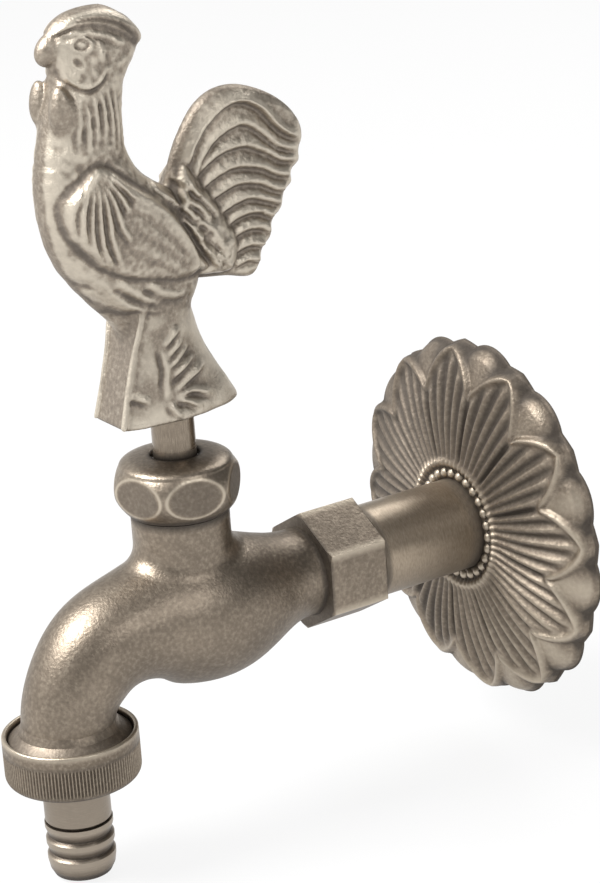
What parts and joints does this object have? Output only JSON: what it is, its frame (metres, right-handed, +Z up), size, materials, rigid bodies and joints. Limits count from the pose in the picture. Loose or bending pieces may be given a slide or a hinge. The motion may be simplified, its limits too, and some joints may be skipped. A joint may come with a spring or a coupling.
{
  "type": "ornamental garden tap",
  "caption": "Wall-mounted ornamental brass tap with a cockerel handle on a rising spindle, a flower-shaped wall rose and a barbed hose union on its spout.",
  "frame": {"origin": "where the inlet axis meets the face of the wall, at the shoulder behind the inlet thread", "axes": "+Y into the wall along the inlet thread, -Y out towards the spout, +Z up along the spindle"},
  "size_m": [0.0906, 0.1489, 0.1988],
  "materials": {
    "cast_brass": "aged sand-cast brass, satin",
    "turned_brass": "aged turned brass, satin",
    "bright_brass": "turned brass",
    "steel": "blackened",
    "rubber": "matte",
    "fibre": "vulcanised fibre",
    "packing": "fluoropolymer ring"
  },
  "bodies": {
    "tap": {"tap_body": "cast_brass", "inlet_extension": "turned_brass", "extension_washer": "fibre", "bonnet_nut": "turned_brass", "headwork_bush": "bright_brass", "headwork_gasket": "fibre", "gland_washer": "bright_brass", "gland_packing": "packing"},
    "wall_rose": {"wall_rose": "cast_brass"},
    "jumper": {"jumper_valve": "bright_brass", "seat_washer": "rubber", "washer_nut": "bright_brass"},
    "spindle": {"spindle": "turned_brass", "rooster_handle": "cast_brass", "handle_screw": "steel"},
    "hose_tail": {"hose_tail": "turned_brass", "hose_washer": "rubber"},
    "union_nut": {"hose_union_nut": "turned_brass"}
  },
  "joints": [
    {"name": "rose_slide", "type": "slide", "parent": "tap", "child": "wall_rose", "axis": [0, -1, 0], "range_m": [0, 0.027]},
    {"name": "valve_lift", "type": "slide", "parent": "tap", "child": "jumper", "axis": [0, 0, 1], "range_m": [0, 0.00625]},
    {"name": "spindle_turn", "type": "hinge", "parent": "jumper", "child": "spindle", "pos_m": [0, -0.08644, 0], "axis": [0, 0, 1], "range_deg": [0, 900]},
    {"name": "tail_drop", "type": "slide", "parent": "tap", "child": "hose_tail", "axis": [0, 0, -1], "range_m": [0, 0.00455]},
    {"name": "union_nut_turn", "type": "hinge", "parent": "hose_tail", "child": "union_nut", "pos_m": [0, -0.1202, 0], "axis": [0, 0, -1], "range_deg": [0, 900]}
  ],
  "couplings": [
    {"joint": "valve_lift", "follows": "spindle_turn", "m_per_rad": 0.00039789},
    {"joint": "tail_drop", "follows": "union_nut_turn", "m_per_rad": 0.00028871}
  ]
}
